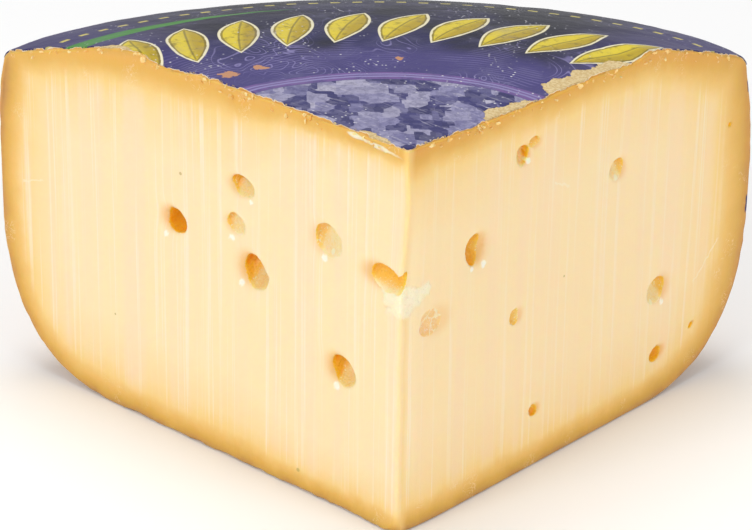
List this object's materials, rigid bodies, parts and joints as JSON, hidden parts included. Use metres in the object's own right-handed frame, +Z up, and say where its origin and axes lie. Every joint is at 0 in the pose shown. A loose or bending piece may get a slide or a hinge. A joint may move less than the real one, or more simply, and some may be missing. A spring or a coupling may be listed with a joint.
{
  "type": "cheese wedge",
  "caption": "Wedge cut from a tall round of firm yellow cheese, with eyes in its cut faces, an amber rind and a dark printed label film on top.",
  "frame": {"origin": "under the middle of the wedge's box, on the surface it stands on", "axes": "+Z up; the tip of the wedge points to -Y and the round side to +Y; +X runs from the left cut face to the right one"},
  "size_m": [0.2331, 0.1618, 0.1197],
  "materials": {
    "cheese": "satin, slightly waxy",
    "label_film": "worn semi-gloss"
  },
  "bodies": {
    "root": {"cheese": "cheese", "label": "label_film"}
  },
  "joints": []
}
